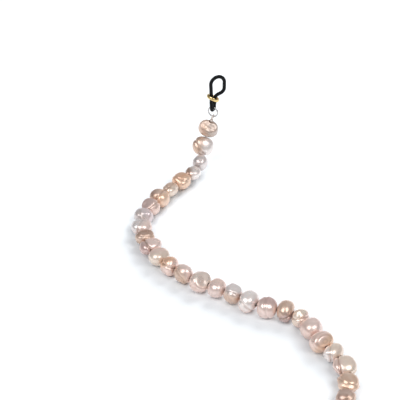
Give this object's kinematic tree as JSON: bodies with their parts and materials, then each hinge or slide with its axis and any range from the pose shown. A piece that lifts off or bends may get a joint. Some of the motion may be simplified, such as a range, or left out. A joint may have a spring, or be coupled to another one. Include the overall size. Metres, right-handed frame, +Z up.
{
  "type": "eyeglasses chain strap",
  "caption": "Strap for eyeglasses: baroque pearls strung on one beading wire, with a ring, a slider and a rubber temple loop at each end.",
  "frame": {"origin": "middle of the eye of temple loop A, where the glasses' temple arm goes through", "axes": "+Y along the temple arm towards the front of the glasses, +Z up, +X completes the frame to the right of the arm"},
  "size_m": [0.1419, 0.2212, 0.0421],
  "materials": {
    "nacre_rose": "lustrous",
    "nacre_white": "lustrous",
    "nacre_cream": "lustrous",
    "nacre_peach": "lustrous",
    "nacre_mauve": "lustrous",
    "nacre_lavender": "lustrous",
    "nacre_tan": "lustrous",
    "loop_rubber": "satin",
    "slider_gold": "polished",
    "ring_silver": "polished",
    "crimp_silver": "satin",
    "wire_steel": "satin"
  },
  "bodies": {
    "strap": {"temple_loop_a": "loop_rubber", "beading_wire": "wire_steel", "wire_eye_a": "wire_steel", "wire_eye_b": "wire_steel", "crimp_a": "crimp_silver", "crimp_b": "crimp_silver", "strand_section_01": "nacre_rose", "strand_section_02": "nacre_cream", "strand_section_03": "nacre_lavender", "strand_section_04": "nacre_peach", "strand_section_05": "nacre_white", "strand_section_06": "nacre_rose", "strand_section_07": "nacre_cream", "strand_section_08": "nacre_lavender", "strand_section_09": "nacre_peach", "strand_section_10": "nacre_white"},
    "slider_ring_a": {"slider_ring_a": "slider_gold"},
    "jump_ring_a": {"jump_ring_a": "ring_silver"},
    "jump_ring_b": {"jump_ring_b": "ring_silver"},
    "temple_loop_b": {"temple_loop_b": "loop_rubber"},
    "slider_ring_b": {"slider_ring_b": "slider_gold"},
    "pearl_01": {"pearl_01": "nacre_rose"},
    "pearl_02": {"pearl_02": "nacre_white"},
    "pearl_03": {"pearl_03": "nacre_white"},
    "pearl_04": {"pearl_04": "nacre_cream"},
    "pearl_05": {"pearl_05": "nacre_peach"},
    "pearl_06": {"pearl_06": "nacre_cream"},
    "pearl_07": {"pearl_07": "nacre_peach"},
    "pearl_08": {"pearl_08": "nacre_mauve"},
    "pearl_09": {"pearl_09": "nacre_lavender"},
    "pearl_10": {"pearl_10": "nacre_white"},
    "pearl_11": {"pearl_11": "nacre_tan"},
    "pearl_12": {"pearl_12": "nacre_lavender"},
    "pearl_13": {"pearl_13": "nacre_cream"},
    "pearl_14": {"pearl_14": "nacre_mauve"},
    "pearl_15": {"pearl_15": "nacre_rose"},
    "pearl_16": {"pearl_16": "nacre_cream"},
    "pearl_17": {"pearl_17": "nacre_white"},
    "pearl_18": {"pearl_18": "nacre_cream"},
    "pearl_19": {"pearl_19": "nacre_rose"},
    "pearl_20": {"pearl_20": "nacre_mauve"},
    "pearl_21": {"pearl_21": "nacre_tan"},
    "pearl_22": {"pearl_22": "nacre_cream"},
    "pearl_23": {"pearl_23": "nacre_lavender"},
    "pearl_24": {"pearl_24": "nacre_tan"},
    "pearl_25": {"pearl_25": "nacre_cream"},
    "pearl_26": {"pearl_26": "nacre_rose"},
    "pearl_27": {"pearl_27": "nacre_peach"},
    "pearl_28": {"pearl_28": "nacre_tan"}
  },
  "joints": [
    {"name": "slider_slide_a", "type": "slide", "parent": "strap", "child": "slider_ring_a", "axis": [0, 0, 1], "range_m": [-0.001, 0.0007]},
    {"name": "ring_swivel_a", "type": "hinge", "parent": "strap", "child": "jump_ring_a", "pos_m": [-0.002, 0, -0.01185], "axis": [0, 0, 1], "range_deg": [-12, 12]},
    {"name": "ring_lift_b", "type": "hinge", "parent": "strap", "child": "jump_ring_b", "pos_m": [-0.08914, -0.17785, -0.0338], "axis": [0.069, 0.5978, 0.7986], "range_deg": [0, 30]},
    {"name": "loop_lift_b", "type": "hinge", "parent": "jump_ring_b", "child": "temple_loop_b", "pos_m": [-0.09157, -0.17757, -0.0338], "axis": [0.0915, 0.7934, -0.6018], "range_deg": [0, 45]},
    {"name": "slider_slide_b", "type": "slide", "parent": "temple_loop_b", "child": "slider_ring_b", "axis": [-0.9936, 0.0324, -0.1084], "range_m": [-0.001, 0.0007]},
    {"name": "pearl_spin_01", "type": "hinge", "parent": "strap", "child": "pearl_01", "pos_m": [-0.00365, 0.00088, -0.01997], "axis": [-0.2809, 0.1153, -0.9528], "continuous": true},
    {"name": "pearl_spin_02", "type": "hinge", "parent": "strap", "child": "pearl_02", "pos_m": [-0.00618, -0.00023, -0.0275], "axis": [-0.3524, -0.4013, -0.8455], "continuous": true},
    {"name": "pearl_spin_03", "type": "hinge", "parent": "strap", "child": "pearl_03", "pos_m": [-0.00994, -0.00441, -0.03235], "axis": [-0.6639, -0.6537, -0.3632], "continuous": true},
    {"name": "pearl_spin_04", "type": "hinge", "parent": "strap", "child": "pearl_04", "pos_m": [-0.01528, -0.00838, -0.0337], "axis": [-0.8731, -0.4842, -0.0566], "continuous": true},
    {"name": "pearl_spin_05", "type": "hinge", "parent": "strap", "child": "pearl_05", "pos_m": [-0.02185, -0.01169, -0.0338], "axis": [-0.8944, -0.4472, 0], "continuous": true},
    {"name": "pearl_spin_06", "type": "hinge", "parent": "strap", "child": "pearl_06", "pos_m": [-0.02854, -0.01531, -0.0338], "axis": [-0.8631, -0.505, 0], "continuous": true},
    {"name": "pearl_spin_07", "type": "hinge", "parent": "strap", "child": "pearl_07", "pos_m": [-0.03482, -0.01925, -0.0338], "axis": [-0.8276, -0.5613, 0], "continuous": true},
    {"name": "pearl_spin_08", "type": "hinge", "parent": "strap", "child": "pearl_08", "pos_m": [-0.04049, -0.02348, -0.0338], "axis": [-0.7721, -0.6355, 0], "continuous": true},
    {"name": "pearl_spin_09", "type": "hinge", "parent": "strap", "child": "pearl_09", "pos_m": [-0.04543, -0.0281, -0.0338], "axis": [-0.6602, -0.7511, 0], "continuous": true},
    {"name": "pearl_spin_10", "type": "hinge", "parent": "strap", "child": "pearl_10", "pos_m": [-0.04893, -0.03442, -0.0338], "axis": [-0.2989, -0.9543, 0], "continuous": true},
    {"name": "pearl_spin_11", "type": "hinge", "parent": "strap", "child": "pearl_11", "pos_m": [-0.05021, -0.04092, -0.0338], "axis": [-0.0989, -0.9951, 0], "continuous": true},
    {"name": "pearl_spin_12", "type": "hinge", "parent": "strap", "child": "pearl_12", "pos_m": [-0.05039, -0.04712, -0.0338], "axis": [0.0325, -0.9995, 0], "continuous": true},
    {"name": "pearl_spin_13", "type": "hinge", "parent": "strap", "child": "pearl_13", "pos_m": [-0.04981, -0.05408, -0.0338], "axis": [0.1324, -0.9912, 0], "continuous": true},
    {"name": "pearl_spin_14", "type": "hinge", "parent": "strap", "child": "pearl_14", "pos_m": [-0.04841, -0.06079, -0.0338], "axis": [0.2814, -0.9596, 0], "continuous": true},
    {"name": "pearl_spin_15", "type": "hinge", "parent": "strap", "child": "pearl_15", "pos_m": [-0.04598, -0.06731, -0.0338], "axis": [0.4133, -0.9106, 0], "continuous": true},
    {"name": "pearl_spin_16", "type": "hinge", "parent": "strap", "child": "pearl_16", "pos_m": [-0.04224, -0.07378, -0.0338], "axis": [0.5807, -0.8142, 0], "continuous": true},
    {"name": "pearl_spin_17", "type": "hinge", "parent": "strap", "child": "pearl_17", "pos_m": [-0.03814, -0.07929, -0.0338], "axis": [0.5864, -0.81, 0], "continuous": true},
    {"name": "pearl_spin_18", "type": "hinge", "parent": "strap", "child": "pearl_18", "pos_m": [-0.03459, -0.08471, -0.0338], "axis": [0.5088, -0.8609, 0], "continuous": true},
    {"name": "pearl_spin_19", "type": "hinge", "parent": "strap", "child": "pearl_19", "pos_m": [-0.03138, -0.09046, -0.0338], "axis": [0.4838, -0.8752, 0], "continuous": true},
    {"name": "pearl_spin_20", "type": "hinge", "parent": "strap", "child": "pearl_20", "pos_m": [-0.02709, -0.09607, -0.0338], "axis": [0.7427, -0.6696, 0], "continuous": true},
    {"name": "pearl_spin_21", "type": "hinge", "parent": "strap", "child": "pearl_21", "pos_m": [-0.02211, -0.10038, -0.0338], "axis": [0.6784, -0.7347, 0], "continuous": true},
    {"name": "pearl_spin_22", "type": "hinge", "parent": "strap", "child": "pearl_22", "pos_m": [-0.01928, -0.10544, -0.0338], "axis": [0.2904, -0.9569, 0.001], "continuous": true},
    {"name": "pearl_spin_23", "type": "hinge", "parent": "strap", "child": "pearl_23", "pos_m": [-0.01864, -0.11194, -0.03377], "axis": [-0.0618, -0.9981, 0.0075], "continuous": true},
    {"name": "pearl_spin_24", "type": "hinge", "parent": "strap", "child": "pearl_24", "pos_m": [-0.0189, -0.11886, -0.03378], "axis": [0.0831, -0.9964, -0.018], "continuous": true},
    {"name": "pearl_spin_25", "type": "hinge", "parent": "strap", "child": "pearl_25", "pos_m": [-0.01764, -0.12474, -0.03398], "axis": [0.2732, -0.961, -0.0434], "continuous": true},
    {"name": "pearl_spin_26", "type": "hinge", "parent": "strap", "child": "pearl_26", "pos_m": [-0.01751, -0.13142, -0.03417], "axis": [-0.2283, -0.9735, -0.0126], "continuous": true},
    {"name": "pearl_spin_27", "type": "hinge", "parent": "strap", "child": "pearl_27", "pos_m": [-0.02059, -0.13822, -0.03418], "axis": [-0.5519, -0.8339, 0.0073], "continuous": true},
    {"name": "pearl_spin_28", "type": "hinge", "parent": "strap", "child": "pearl_28", "pos_m": [-0.02476, -0.14335, -0.0341], "axis": [-0.687, -0.7265, 0.0145], "continuous": true}
  ]
}
